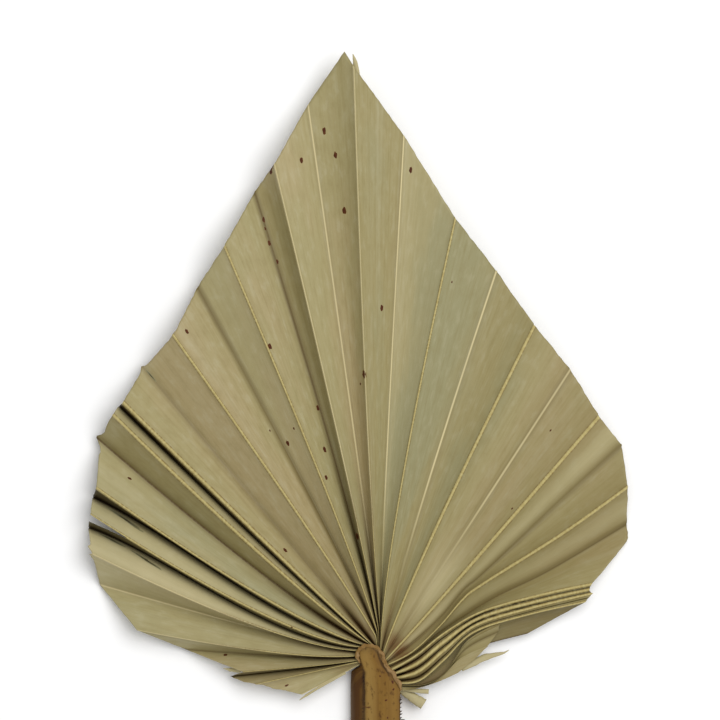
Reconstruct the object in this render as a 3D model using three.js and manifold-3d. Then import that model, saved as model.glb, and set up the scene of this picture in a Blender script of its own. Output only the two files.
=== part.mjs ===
// A dried palm spear: one fan-palm leaf, trimmed to a spade shape, with its cut stalk, lying face up.
// Millimetres and degrees, +Z up. +Y runs from the stalk's cut end to the leaf's tip.
// Both pieces are drawn about the hub, where the pleats meet above the origin of the drawing.

import * as THREE from "three";
import { mergeVertices } from "three/addons/utils/BufferGeometryUtils.js";
import Module from "manifold-3d";

const wasm = await Module();
wasm.setup();

// Driving dimensions
const BLADE_THICKNESS = 0.7;
const BLADE_DROP_LIMIT = 3.5; // thickness measured straight down, where a pleat stands nearly upright
const HUB_HEIGHT = 6.4; // middle of the pleats at the hub
const HUB_TILT = 0.16; // rise of the hub for each mm to the right
const HUB_FOLD = 2.1; // half the height of a pleat at the hub
const NERVE_RISE = 0.5;
const NERVE_HALF_WIDTH = 0.6;
const NERVE_WIDEST_SHARE = 0.3; // of the way from a ridge to the next crease
const STALK_LENGTH = 250; // from the hub to the cut end
const STALK_SWAY = -6; // sideways bow at the cut end
const STRAIGHT_FROM = -20; // the bow starts this far below the hub
const CUT_SLANT = 0.12;
const FRONT_HEIGHT = 9.6; // front of the stalk above the surface, at the middle
const FRONT_TILT = 0.2;
const FRONT_BULGE = 0.5;
const HASTULA_RADIUS = 0.8;
const HASTULA_RISE = 0.3; // middle of the raised rim above the front of the stalk
const TOOTH_PITCH = 8;
const TOOTH_LENGTH = 1.7;
const TOOTH_RADIUS = 0.55;
const REST_SPOT = new THREE.Vector2(-2.1, -30); // this spot of the flat underside becomes the origin

// Creases of the fan, from its lower right edge round by the tip to its lower left edge.
// Angle and radius of the outer end about the hub, then the level: 1 a ridge, -1 a valley, between: a facet.
const FAN_CREASES = [
  [4.3, 47.4, -1],
  [11.8, 67.2, 1],
  [12.7, 68.5, -1],
  [13.6, 70.1, 1],
  [14.2, 69.4, -1],
  [14.8, 69.4, 1],
  [15.4, 69.8, -1],
  [16, 70.4, 1],
  [26, 88, -1],
  [32.5, 94.1, 1],
  [39.6, 100.5, -1],
  [46.2, 101.4, 1],
  [55.3, 107.2, -1],
  [64.2, 113.6, 1],
  [72.7, 125.4, -1],
  [80, 138.6, 1],
  [87.3, 163.2, -1],
  [92.9, 184, 1],
  [93.9, 190.4, 0.75],
  [97.6, 174.4, -1],
  [102.4, 157.4, 1],
  [105.5, 150.4, -1],
  [111.3, 137, 1],
  [117, 128.6, -1],
  [123.7, 119.1, 1],
  [130.5, 116.6, -1],
  [136.7, 113, 1],
  [137.6, 113.5, -1],
  [139.2, 112.9, 1],
  [143.9, 111.2, -1],
  [151, 103.7, 1],
  [152.8, 103.4, -1],
  [155.7, 101.6, 1],
  [158.1, 100.7, -1],
  [162.4, 96.6, 1],
  [168, 91.8, -1],
  [176.5, 77.9, 1],
  [181.5, 62.1, -1],
  [191.3, 45.8, 1],
  [193.9, 48, -1],
  [197.6, 41.6, 1],
  [205, 34.2, 0],
  [212.5, 29.6, 0.6],
];

// The last fold, which lies as a flap over the fan's lower right edge.
const FLAP_CREASES = [
  [-19.7, 26.5, 0.9],
  [-9.1, 30.5, 1.1],
  [-0.5, 34.6, 1.2],
  [4.9, 37.6, 1.3],
  [9, 38.9, 1.1],
];

// Where the creases start round the stalk's head, from the lower right to the lower left.
const FAN_START = new THREE.SplineCurve([
  new THREE.Vector2(7.3, -13.4),
  new THREE.Vector2(4.3, -7),
  new THREE.Vector2(1.6, -0.2),
  new THREE.Vector2(-1.4, 2),
  new THREE.Vector2(-8.3, -1.2),
  new THREE.Vector2(-6.9, -6.4),
]);
const FLAP_START = new THREE.LineCurve(new THREE.Vector2(7.7, -14.9), new THREE.Vector2(7, -12.8));

// How a crease leaves the hub: its turn away from the straight line to its outer end, by that end's angle.
const BEND = [
  [-20, -7], [4, 15], [9, 20], [12, 24], [14.5, 26], [16, 30], [33, 11], [46, 4], [64, 6], [80, 6], [93, 4],
  [102, 0], [124, -1.5], [137, 0], [144, 4], [151, 8], [163, 11], [177, 13], [191, 5], [198, 3], [214, 0],
];
const BEND_REACH = 0.4;

// Middle height and half height of the pleats at the rim, by angle.
const RIM_HEIGHT = [
  [-20, 6], [16, 6], [26, 3.8], [46, 6], [64, 8], [80, 10], [93, 12], [111, 10.5],
  [130, 8.5], [144, 7.5], [157, 6.8], [168, 5], [181, 5.5], [197, 6.5], [214, 7],
];
const RIM_FOLD = [
  [-20, 2], [16, 2.2], [26, 3.2], [40, 2.4], [55, 2.2], [72, 2.4], [87, 2.8], [97, 3.2],
  [105, 3.6], [117, 3.4], [130, 3.6], [138, 4.2], [152, 5], [160, 5], [168, 4], [181, 3], [193, 3],
  [205, 1.5], [214, 0.5],
];
const ROW_SHARES = [0, 0.04, 0.09, 0.15, 0.22, 0.3, 0.39, 0.48, 0.57, 0.66, 0.75, 0.83, 0.9, 0.96, 1];

// Splits beside a nerve: the angle of the ridge at the rim, and the share of its length where the split ends.
const SPLITS = [
  [92.9, 0.96],
  [155.7, 0.9],
];

// Plan of the stalk, as [y, x]: its outer left side, the left margin of its front, and its right margin.
const STALK_LEFT = [
  [-250, -10.2], [-12, -9.4], [-9.5, -9], [-8.4, -7.8], [-7.2, -6.6], [-6.6, -6.4], [-5.5, -6.9], [-4, -7.5],
  [-2, -7.8], [-1, -7.4], [-0.5, -6.7], [0, -5.7], [0.5, -4.6], [1, -3.6], [1.4, -2.4],
];
const STALK_MARGIN = [
  [-250, -5.6], [-14, -5.1], [-8.5, -5.2], [-6.6, -5.6], [-4, -6.6], [-1.5, -6.6], [0, -5], [1, -3],
  [1.4, -2.2],
];
const STALK_RIGHT = [
  [-250, 7.1], [-14, 6.5], [-11, 5.7], [-9, 4.7], [-6, 2.9], [-3, 2], [-1, 1], [0.2, 0.4], [1, -0.6],
  [1.4, -1.6],
];
const HEAD_ROWS = [
  -20, -16, -14, -12.5, -11, -9.8, -9, -8.4, -7.2, -6.6, -5.5, -4, -2.5, -1.2, -0.5, 0, 0.5, 1, 1.4,
];
const SHAFT_ROW_COUNT = 12;

// Stalk section: places across the front, then each flank as [share inwards or outwards, share of height].
const FRONT_SHARES = [0, 0.25, 0.5, 0.75, 1];
const RIGHT_FLANK = [[0.02, 0.78], [0.11, 0.42], [0.27, 0.11], [0.37, 0]];
const LEFT_FLANK = [[0.3, 0], [0.81, 0.11], [1, 0.38], [0.75, 0.69], [0.26, 0.9]];

// Crest of the raised rim over the stalk's head, the hastula, from its left foot to its right foot.
const HASTULA_CREST = [
  [-6, -6.3], [-7, -3.6], [-6.4, -1.6], [-4.6, -0.6], [-2.4, -0.2], [-0.6, -0.9], [0.6, -3.2], [1.7, -6.1],
  [3.6, -8.7], [5, -11.2], [5.7, -14.2],
];

const { degToRad, lerp } = THREE.MathUtils;
const ORIGIN = new THREE.Vector2();

// Value at a place, by straight lines through pairs of place and value.
function ramp(pairs, place) {
  const next = pairs.findIndex(([at]) => at >= place);
  if (next < 0) return pairs.at(-1)[1];
  if (next === 0) return pairs[0][1];
  const [from, low] = pairs[next - 1];
  const [to, high] = pairs[next];
  return lerp(low, high, (place - from) / (to - from));
}

function geometryOf(points, triangles) {
  const geometry = new THREE.BufferGeometry().setFromPoints(points);
  geometry.setIndex(triangles);
  return geometry;
}

function solidOf(geometry) {
  const bare = geometry.clone();
  bare.deleteAttribute("normal");
  bare.deleteAttribute("uv");
  const merged = mergeVertices(bare, 1e-4);
  const vertProperties = new Float32Array(merged.attributes.position.array);
  const triVerts = new Uint32Array(merged.index.array);
  return new wasm.Manifold(new wasm.Mesh({ numProp: 3, vertProperties, triVerts }));
}

function geometryOfSolid(solid) {
  const { vertProperties, triVerts } = solid.getMesh();
  const geometry = new THREE.BufferGeometry();
  geometry.setAttribute("position", new THREE.BufferAttribute(vertProperties, 3));
  geometry.setIndex(new THREE.BufferAttribute(triVerts, 1));
  return geometry;
}

// Points down one crease, from its start at the hub to the rim.
function creaseLine([angle, radius, level], start) {
  const end = new THREE.Vector2(radius, 0).rotateAround(ORIGIN, degToRad(angle));
  const knee = end.clone().sub(start).multiplyScalar(BEND_REACH);
  knee.rotateAround(ORIGIN, degToRad(ramp(BEND, angle))).add(start);
  const path = new THREE.QuadraticBezierCurve(start, knee, end);
  return ROW_SHARES.map((share) => {
    const { x, y } = path.getPoint(share);
    const middle = lerp(HUB_HEIGHT + HUB_TILT * start.x, ramp(RIM_HEIGHT, angle), share);
    const fold = lerp(HUB_FOLD, ramp(RIM_FOLD, angle), share);
    return new THREE.Vector3(x, y, middle + level * fold);
  });
}

// A nerve's foot: a line on the facet between a ridge and the crease beside it.
function nerveFoot(ridge, beside) {
  return ridge.map((point, row) => {
    const gap = Math.hypot(beside[row].x - point.x, beside[row].y - point.y);
    return point.clone().lerp(beside[row], Math.min(NERVE_HALF_WIDTH / gap, NERVE_WIDEST_SHARE));
  });
}

// Columns of a sheet's upper face: each ridge as a raised nerve between its two feet, the rest as it is.
function sheetColumns(creases, startCurve) {
  const lines = creases.map((crease, index) => {
    return creaseLine(crease, startCurve.getPoint(index / (creases.length - 1)));
  });
  return creases.flatMap(([angle, , level], index) => {
    const line = lines[index];
    if (level !== 1) return [{ line, splitFrom: 1 }];
    const crown = line.map((point) => new THREE.Vector3(point.x, point.y, point.z + NERVE_RISE));
    const split = SPLITS.find(([at]) => at === angle);
    return [
      { line: nerveFoot(line, lines[index - 1]), splitFrom: 1 },
      { line: crown, splitFrom: split ? split[1] : 1 },
      { line: nerveFoot(line, lines[index + 1]), splitFrom: 1 },
    ];
  });
}

// Thickness straight down that leaves the blade's own thickness square to the steepest facet beside a point.
function dropAt(columns, index, row) {
  const here = columns[index].line[row];
  const slopes = [columns[index - 1], columns[index + 1]].filter(Boolean).map(({ line }) => {
    const there = line[row];
    return Math.abs(there.z - here.z) / Math.hypot(there.x - here.x, there.y - here.y);
  });
  return Math.min(BLADE_THICKNESS * Math.hypot(1, Math.max(...slopes)), BLADE_DROP_LIMIT);
}

// A pleated sheet: an upper and a lower face split alike, with a wall wherever a kept cell meets an open one.
function pleatedSheet(creases, startCurve) {
  const columns = sheetColumns(creases, startCurve);
  const rowCount = ROW_SHARES.length;
  const upper = [];
  const lower = [];
  columns.forEach(({ line }, index) => {
    line.forEach((point, row) => {
      const underside = Math.max(point.z - dropAt(columns, index, row), 0);
      lower.push(new THREE.Vector3(point.x, point.y, underside));
      upper.push(new THREE.Vector3(point.x, point.y, Math.max(point.z, underside + BLADE_THICKNESS)));
    });
  });
  const at = (column, row) => column * rowCount + row;
  const under = (vertex) => vertex + upper.length;
  const isKept = (column, row) => {
    if (column < 0 || row < 0 || column >= columns.length - 1 || row >= rowCount - 1) return false;
    return ROW_SHARES[row] < columns[column].splitFrom;
  };
  const triangles = [];
  const addWall = (from, to) => triangles.push(from, under(from), under(to), from, under(to), to);
  for (let column = 0; column < columns.length - 1; column += 1) {
    for (let row = 0; row < rowCount - 1; row += 1) {
      if (!isKept(column, row)) continue;
      const [a, b] = [at(column, row), at(column, row + 1)];
      const [c, d] = [at(column + 1, row + 1), at(column + 1, row)];
      triangles.push(a, b, c, a, c, d);
      triangles.push(under(a), under(c), under(b), under(a), under(d), under(c));
      if (!isKept(column - 1, row)) addWall(a, b);
      if (!isKept(column, row + 1)) addWall(b, c);
      if (!isKept(column + 1, row)) addWall(c, d);
      if (!isKept(column, row - 1)) addWall(d, a);
    }
  }
  return solidOf(geometryOf([...upper, ...lower], triangles));
}

function bladeGeometry() {
  const fan = pleatedSheet(FAN_CREASES, FAN_START);
  const flap = pleatedSheet(FLAP_CREASES, FLAP_START);
  return geometryOfSolid(fan.add(flap));
}

function frontHeight(x) {
  return FRONT_HEIGHT + FRONT_TILT * x;
}

function sway(y) {
  const share = Math.max(STRAIGHT_FROM - y, 0) / STALK_LENGTH;
  return STALK_SWAY * share * share;
}

// One ring of the stalk: across the front from left to right, down the right flank and up the left one.
function stalkRing(y) {
  const left = ramp(STALK_LEFT, y);
  const margin = ramp(STALK_MARGIN, y);
  const right = ramp(STALK_RIGHT, y);
  const front = FRONT_SHARES.map((share) => {
    const x = lerp(margin, right, share);
    return [x, frontHeight(x) + FRONT_BULGE * 4 * share * (1 - share)];
  });
  const flank = (from, to, places) => {
    return places.map(([share, rise]) => [lerp(from, to, share), frontHeight(from) * rise]);
  };
  const outline = [...front, ...flank(right, margin, RIGHT_FLANK), ...flank(margin, left, LEFT_FLANK)];
  const slant = y === -STALK_LENGTH ? CUT_SLANT : 0;
  return outline.map(([x, z]) => new THREE.Vector3(x + sway(y), y + slant * x, z));
}

// The stalk's body: rings joined along Y and closed by a fan at each end.
function stalkBody() {
  const shaftRows = Array.from({ length: SHAFT_ROW_COUNT }, (_, row) => {
    return lerp(-STALK_LENGTH, HEAD_ROWS[0], row / SHAFT_ROW_COUNT);
  });
  const rings = [...shaftRows, ...HEAD_ROWS].map(stalkRing);
  const sides = rings[0].length;
  const points = rings.flat();
  const middleOf = (ring) => {
    return ring.reduce((sum, point) => sum.add(point), new THREE.Vector3()).divideScalar(sides);
  };
  const cutMiddle = points.push(middleOf(rings[0])) - 1;
  const headMiddle = points.push(middleOf(rings.at(-1))) - 1;
  const lastRing = (rings.length - 1) * sides;
  const triangles = [];
  for (let side = 0; side < sides; side += 1) {
    const next = (side + 1) % sides;
    triangles.push(cutMiddle, next, side, headMiddle, lastRing + side, lastRing + next);
    for (let ring = 0; ring < rings.length - 1; ring += 1) {
      const [here, there] = [ring * sides, (ring + 1) * sides];
      triangles.push(here + side, here + next, there + next, here + side, there + next, there + side);
    }
  }
  return solidOf(geometryOf(points, triangles));
}

// The raised rim that arches over the head of the stalk.
function hastula() {
  const crest = HASTULA_CREST.map(([x, y]) => new THREE.Vector3(x, y, frontHeight(x) + HASTULA_RISE));
  const round = new THREE.Shape().absarc(0, 0, HASTULA_RADIUS, 0, 2 * Math.PI);
  const options = {
    extrudePath: new THREE.CatmullRomCurve3(crest),
    steps: 30,
    curveSegments: 4,
    bevelEnabled: false,
  };
  return solidOf(new THREE.ExtrudeGeometry(round, options));
}

// One small tooth on a margin, its root sunk into the stalk and its point leaning towards the leaf.
function marginTooth(x, y, outward) {
  const geometry = new THREE.ConeGeometry(TOOTH_RADIUS, TOOTH_LENGTH, 4);
  const lean = new THREE.Vector3(outward, 0.4, 0.1).normalize();
  geometry.applyQuaternion(new THREE.Quaternion().setFromUnitVectors(new THREE.Vector3(0, 1, 0), lean));
  geometry.translate(x + sway(y), y, frontHeight(x) - TOOTH_RADIUS);
  return solidOf(geometry);
}

function stalkGeometry() {
  let stalk = stalkBody().add(hastula());
  for (let y = HEAD_ROWS[0]; y > -STALK_LENGTH + TOOTH_PITCH; y -= TOOTH_PITCH) {
    stalk = stalk.add(marginTooth(ramp(STALK_MARGIN, y), y, -1));
    stalk = stalk.add(marginTooth(ramp(STALK_RIGHT, y), y - TOOTH_PITCH / 2, 1));
  }
  return geometryOfSolid(stalk);
}

function namedMesh(name, geometry, colour, roughness) {
  const material = new THREE.MeshStandardMaterial({
    color: colour,
    roughness,
    metalness: 0,
    flatShading: true,
  });
  const mesh = new THREE.Mesh(geometry, material);
  mesh.name = name;
  return mesh;
}

const spear = new THREE.Group();
spear.add(namedMesh("leaf_blade", bladeGeometry(), 0xa89c74, 0.75));
spear.add(namedMesh("leaf_stalk", stalkGeometry(), 0xa5825a, 0.7));
spear.position.set(-REST_SPOT.x, -REST_SPOT.y, 0);

export default spear;
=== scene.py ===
"""Dried palm spear: the fine leaf blade and stalk that are seen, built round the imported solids.

Lengths in the tables are millimetres about the hub, where the blade meets the stalk; in_frame() turns them
into metres of the frame.
"""

import math
import random
from dataclasses import dataclass

import bpy
from mathutils import Color, Matrix, Vector, noise
from mathutils.bvhtree import BVHTree


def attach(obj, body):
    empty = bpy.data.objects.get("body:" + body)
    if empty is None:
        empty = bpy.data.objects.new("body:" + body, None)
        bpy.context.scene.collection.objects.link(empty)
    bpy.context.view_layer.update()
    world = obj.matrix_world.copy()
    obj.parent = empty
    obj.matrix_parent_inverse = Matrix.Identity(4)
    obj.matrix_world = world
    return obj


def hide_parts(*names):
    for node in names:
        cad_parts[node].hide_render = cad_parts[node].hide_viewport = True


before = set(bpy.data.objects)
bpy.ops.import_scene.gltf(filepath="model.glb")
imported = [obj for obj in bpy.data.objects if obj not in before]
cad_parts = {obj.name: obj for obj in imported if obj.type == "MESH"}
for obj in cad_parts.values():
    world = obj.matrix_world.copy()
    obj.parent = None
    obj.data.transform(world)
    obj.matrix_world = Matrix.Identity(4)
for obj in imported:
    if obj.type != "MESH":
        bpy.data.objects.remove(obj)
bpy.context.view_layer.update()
draw = random.Random(7)

# Frame and camera
MM = 0.001
HUB = Vector((2.1, 30, 0))  # the hub in the frame
VIEW_CENTRE = Vector((-4.3, 121.2))  # what the camera looks down on, in the frame
VIEW_WIDTH = 230.4  # width of the view at the height of the leaf
LEAF_HEIGHT = 8
CAMERA_HEIGHT = 3000

# Blade
SHEET_THICKNESS = 0.45
HUB_HEIGHT = 6.4  # middle of the pleats at the hub
HUB_TILT = 0.16  # rise of the hub for each mm to the right
NERVE_RISE = 0.4
NERVE_HALF_WIDTH = 0.65
WIDE_NERVES = {32.5: 0.85, 46.2: 0.85, 64.2: 0.8, 136.7: 1.1, 139.2: 0.8, 151: 0.8}  # half widths by angle
STACK_NERVE_HALF_WIDTH = 0.85
NERVE_AT_HUB = 0.5  # share of its width that a nerve has at the hub
NERVE_WIDE_FROM = 0.5  # share of the length from which it has its full width
VEIN_RISE = 0.15
VEIN_HALF_WIDTH = 0.5
NERVE_WIDEST_SHARE = 0.62  # of the way from one crease to the next
VEIN_WIDEST_SHARE = 0.3
LINE_CROWN = 0.25  # share of its half width over which a nerve or vein is flat
VALLEY_REACH = 2.2  # how far the shade of a valley spreads
VALLEY_SHARE = 0.35  # most of a facet's width that it takes
# How far the painted black shade of a narrow gap spreads.
GAP_REACH = 0.8
CREAM_CLEARS = 0.7  # share of a valley's shade that is missing where it has a cream line
HUB_REACH = 26  # how far the brown painted shade along the valleys spreads from the hub
BLOT_SPAN = (5.5, 6)  # distance of the brown blots from the start of a crease, and how far they spread
DEEP_SHADE_SHARE = 0.6  # share of a facet's width that is dark where its valley is deep
TRUNK = (100, 18, 13, 0.6)  # brown bundle of ribs above the head: angle, half width, length, strength
CREAM_FROM = (15, 65)  # distances from the hub between which a cream line sets in
WAVE_HEIGHT = 0.3
WAVE_LENGTH = 26
EDGE_STEPS = (0, 0.4, 0.7)  # places of the columns across half a nerve or vein
FACET_STEP = 1.5  # spacing of the columns between the edges of a facet, at the rim
ROW_COUNT = 66
ROW_CROWDING = 1.25  # rows stand closer towards the rim
RIM_JITTER = 0.14
RIM_EASE = 22  # the rim's raggedness dies out over the last part of the length

# Creases of the fan, from its lower right edge round by the tip to its lower left edge.
# Angle and radius of the outer end about the hub, then the level: 1 a ridge, -1 a valley, between: a facet.
FAN_CREASES = [
    (4.3, 47.4, -1), (11.8, 67.2, 1), (12.7, 68.5, -1), (13.6, 70.1, 1), (14.2, 69.4, -1), (14.8, 69.4, 1),
    (15.4, 69.8, -1), (16, 70.4, 1), (26, 88, -1), (32.5, 94.1, 1), (39.6, 100.5, -1), (46.2, 101.4, 1),
    (55.3, 107.2, -1), (64.2, 113.6, 1), (72.7, 125.4, -1), (80, 138.6, 1), (87.3, 163.2, -1),
    (92.6, 185.2, 1), (97.6, 174.4, -1), (102.4, 157.4, 1), (105.5, 150.4, -1), (111.3, 137, 1),
    (117, 128.6, -1), (123.7, 119.1, 1), (130.5, 116.6, -1), (136.7, 113, 1), (137.5, 113.3, -1),
    (139.2, 112.9, 1), (143.9, 111.2, -1), (151, 103.7, 1), (152.8, 103.4, -1), (155.7, 101.6, 1),
    (158.1, 100.7, -1), (162.4, 96.6, 1), (168, 91.8, -1), (176.5, 77.9, 1), (181.5, 62.1, -1),
    (191.1, 44.8, 1), (191.9, 49.8, -1), (197.6, 41.6, 1), (205, 34.2, 0), (212.5, 29.6, 0.6),
]

# The last fold, which lies as a flap over the fan's lower right edge.
FLAP_CREASES = [
    (-19.7, 26.5, 0.7), (-9.1, 30.5, 0.45), (-0.5, 34.6, 0.3), (6.4, 38.2, -0.2), (9.3, 38.7, 0.9),
    (10.6, 38.9, 0.5),
]

# How a facet lies between its ridge and its valley, by the angle of its first crease. Above 1 it lies low and
# steepens towards the ridge; below 1 it lies high and drops into a narrow gap.
FACET_LIE = {
    4.3: 5, 11.8: 0.15, 12.7: 0.15, 13.6: 0.15, 14.2: 0.15, 14.8: 0.15, 15.4: 0.15, 16: 1.6,
    111.3: 1.3, 123.7: 1.1, 136.7: 0.6, 137.5: 0.4, 139.2: 1, 151: 0.7, 152.8: 0.4, 155.7: 0.7, 158.1: 0.4,
    162.4: 1, 176.5: 1,
}
LEFT_TURNED_LIE = 2.2
RIGHT_TURNED_LIE = 1
LOWEST_LIE = 3  # a facet that lies lower does so from the hub on
HUB_LIE = 0.3  # how the other facets lie at the hub
OPEN_FROM = 0.45  # share of the length from which a facet lies as at the rim

# Lines along the creases, by angle, with their strength. A ridge without a cream line has a yellow nerve.
CREAM_LINES = {
    55.3: 0.65, 72.7: 0.9, 87.3: 1, 92.6: 0.6, 97.6: 0.8, 102.4: 0.8, 162.4: 0.6, 168: 0.7, 176.5: 0.6,
    212.5: 0.8,
}
BROWN_LINES = {26: 0.2, 105.5: 0.5, 130.5: 0.2, 143.9: 1, 181.5: 0.5}
# Valleys with painted black shade in their narrow gap, by angle, with its strength.
GAP_VALLEYS = {12.7: 0.6, 14.2: 0.6, 15.4: 1, 137.5: 1, 152.8: 1, 158.1: 1, 191.9: 1}
STACK_BEGINS = 11
STACK_ENDS = 17  # the ribs between these angles are stacked close, each nearly all nerve
STACK_LINE_SHARE = 0.85
STACK_SHADE_REACH = 34  # how far out the valleys of the stack are shaded

# Painted shade and painted light on facets, by the angle of their first crease: how black and how olive the
# shade is, and how pale the light.
BLACK_SHADED_FACETS = {4.3: 0.55, 136.7: 0.95, 151: 0.85, 155.7: 0.75}
OLIVE_SHADED_FACETS = {87.3: 0.12, 102.4: 0.3, 117: 0.08, 139.2: 0.3}
PALE_LIT_FACETS = {
    80: 0.22, 97.6: 0.12, 111.3: 0.2, 137.5: 0.3, 143.9: 0.2, 152.8: 0.45, 158.1: 0.6, 162.4: 0.5, 168: 0.2,
}
BLACK_SHADE_AT_HUB = 0.35  # share of its black that a facet has at the hub
BLACK_SHADE_REACH = 95  # distance from the hub where it has all its black

# How olive, and so how darkened, the blade is painted, by angle.
OLIVE_BY_ANGLE = [
    (0, 0.45), (16, 0.3), (24, 0.6), (36, 0.5), (50, 0.4), (65, 0.36), (78, 0.3), (84, 0.16), (92, 0.14),
    (105, 0),
]

# Painted highlight along a pleat: angle, half width in degrees, strength.
HIGHLIGHT_BANDS = [(29, 1.4, 0.28), (42.3, 1.5, 0.48), (60, 2, 0.1)]
# Painted light on the facets near the hub:
HUB_HIGHLIGHT = (52, 11, 27, 24, 0.55)  # angle, half width, distance from the hub, its half width, strength

# By angle: how dark the painted shade of the valleys is at the hub, how far out it reaches, how strong the
# brown blots are.
DEEP_SHADE = [(0, 0.7), (16, 0.8), (28, 0.2), (60, 0.2), (74, 0.7), (90, 1), (140, 1), (160, 0.9), (200, 0.8)]
DEEP_SHADE_REACH = [
    (0, 30), (16, 30), (30, 10), (74, 14), (90, 35), (98, 60), (106, 80), (112, 40), (117, 30), (130, 25),
    (144, 45), (151, 75), (158, 75), (166, 30),
]
BLOTS = [(16, 0.2), (30, 1), (46, 1), (64, 0.8), (74, 0.4), (110, 0.3), (126, 0.6), (146, 0.6), (160, 0.3)]

# Tone of the blade by angle, from -1 cool grey green to 1 warm tan.
TONE = [
    (0, 0.2), (30, 0.2), (45, 0.4), (58, 0.5), (64, -0.4), (72, -0.1), (80, -0.9), (84, -0.4), (88, -0.1),
    (92, 0), (95, 0.6), (100, 0.4), (106, 0), (112, 0.3), (120, 0.5), (128, 0.6), (134, -0.1), (142, 0.2),
    (148, -0.3), (156, -0.2), (164, 0.6), (172, 0.1), (190, 0.3),
]

# Where the creases start under the rim of the stalk's head, by angle, from the lower right to the lower left.
FAN_START = [
    (4.3, (6.4, -13.4)), (11.8, (5.8, -12.4)), (16, (3.1, -8.3)), (32.5, (2.3, -6.4)), (46.2, (1.6, -5)),
    (64.2, (0.8, -3.2)), (80, (0.1, -1.7)), (92.6, (-0.3, -1.2)), (111.3, (-0.6, -0.9)),
    (123.7, (-0.9, -0.6)), (137, (-2.2, -0.2)), (144, (-3.2, -0.1)), (151, (-4.6, -0.1)),
    (155.7, (-5.6, -0.7)), (162.4, (-6.7, -1.8)), (176.5, (-7.2, -3.4)), (191.3, (-6.8, -4.9)),
    (212.5, (-6.5, -6.4)),
]
FLAP_START = [(-19.7, (7.1, -14.6)), (10.6, (6.6, -12.8))]

# Tops of the stem that the ribs above the head share before they part, by angle.
STEM_TOPS = [(92.6, (0.2, 5.2)), (102.4, (-0.5, 5)), (111.3, (-1, 4.4)), (123.7, (-1.2, 2.6))]

# How a crease leaves the hub: its turn away from the straight line to its outer end, by that end's angle.
BEND = [
    (46, -2), (55, 0), (64, 6), (72, 4.5), (80, 8), (87, 1.5), (93, 3), (97.6, -1), (102, -2.3), (106, -4.8),
    (111, -5), (124, -4.5), (130, -1), (136.7, 2), (139, 8), (144, 11.5), (151, 15.5), (155.7, 22), (158, 24),
    (162.4, 20), (168, 4), (176.5, 14), (181.5, 6.5), (191, 5), (198, 0),
]
BEND_REACH = 0.25  # how far from its start a crease aims that way, as a share
RIM_PACE = 2 - 2 * BEND_REACH  # how fast a path runs at the rim, against its mean

# Points passed on the way to the rim by creases that are no plain arcs. Each row of the paths has the angles
# and the points of two such creases; the creases between them pass between their points.
FLAP_MIDDLE = [(13.4, -13.2), (20, -10.2), (27.5, -2.2)]
STACK_TOP = [(11.6, -3.1), (20.5, 4), (33, 11), (52.9, 16.4)]
PATHS = [
    (-19.7, [(12, -13.8), (16, -12.7), (20.5, -11)], 4.3, FLAP_MIDDLE),
    (4.3, FLAP_MIDDLE, 10.6, [(14, -12.6), (20.7, -9.1), (28, 1.4)]),
    (11.8, [(12.8, -11.4), (20.5, -4.9), (30, 4), (46.2, 9.3)], 16, STACK_TOP),
    (16, STACK_TOP, 26, [(11.2, -2.5), (20.5, 4.9), (36.4, 14.9), (54, 23.6)]),
    (32.5, [(10.4, -2.2), (19, 5.9), (26.3, 14.5), (32.3, 19.2), (58.4, 35.6)],
     39.6, [(10.4, 0.6), (19.4, 8.6), (27.1, 17.7), (33.2, 22.9), (57, 45.4)]),
]
PATH_LEAN = 1.2  # above 1 the creases between two such creases lie nearer to the first
PATH_STEPS = 60
RIM_SPARE = 20  # how far a path goes on past the rim, for what stands out there

# Valleys drawn close under the ridge before them in their outer half, by angle, with the strength.
HUGS = {152.8: 0.75, 158.1: 0.7}
HUG_PEAK = 27 / 4  # brings the curve of the pull up to 1 at two thirds of the way

# Middle height of the pleats at the rim and their half height at the hub and at the rim, by angle.
RIM_HEIGHT = [
    (-20, 6), (16, 6), (26, 3.8), (46, 6), (64, 8), (80, 10), (93, 12), (111, 10.5),
    (130, 8.5), (144, 7.5), (157, 6.8), (168, 5), (181, 5.5), (197, 6.5), (214, 7),
]
HUB_FOLD = [(-20, 2), (16, 2), (28, 1.2), (78, 1), (92, 1.7), (110, 2.1)]
RIM_FOLD = [
    (-20, 2), (9, 1.8), (11.8, 1.1), (16, 1.2), (26, 3), (40, 2.4), (55, 2.2), (72, 2.4), (87, 2.8),
    (97, 3.2), (105, 3.6), (117, 3.4), (130, 3.6), (138, 4.2), (152, 5), (160, 5), (168, 4), (181, 3),
    (193, 3), (205, 1.5), (214, 0.5),
]

# Splits beside a nerve, by the angle of the ridge: share of the length where one opens, width at the rim.
SPLITS = {155.7: (0.9, 2.2)}

# Corners of the rim between the ends of two creases: angle, how far the cut edge stands out there.
RIM_CORNERS = [(16, 0), (22.3, 4.6), (26, 0), (92.6, 0), (93.5, 7), (97.6, 0)]

# Torn spots of the rim: angle, half width in degrees, length that stands out or is missing.
RIM_TEARS = [
    (130.7, 0.4, 0.9), (123.7, 0.3, 0.5), (143.7, 0.5, 1.6), (142.6, 0.3, -0.4), (145.2, 0.4, -0.7),
    (161.6, 0.3, 1.6), (162.9, 0.3, 1.5), (192, 0.8, -0.8), (195.4, 0.7, 0.9), (199, 0.8, -0.7),
    (203, 0.9, 0.6),
]

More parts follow.
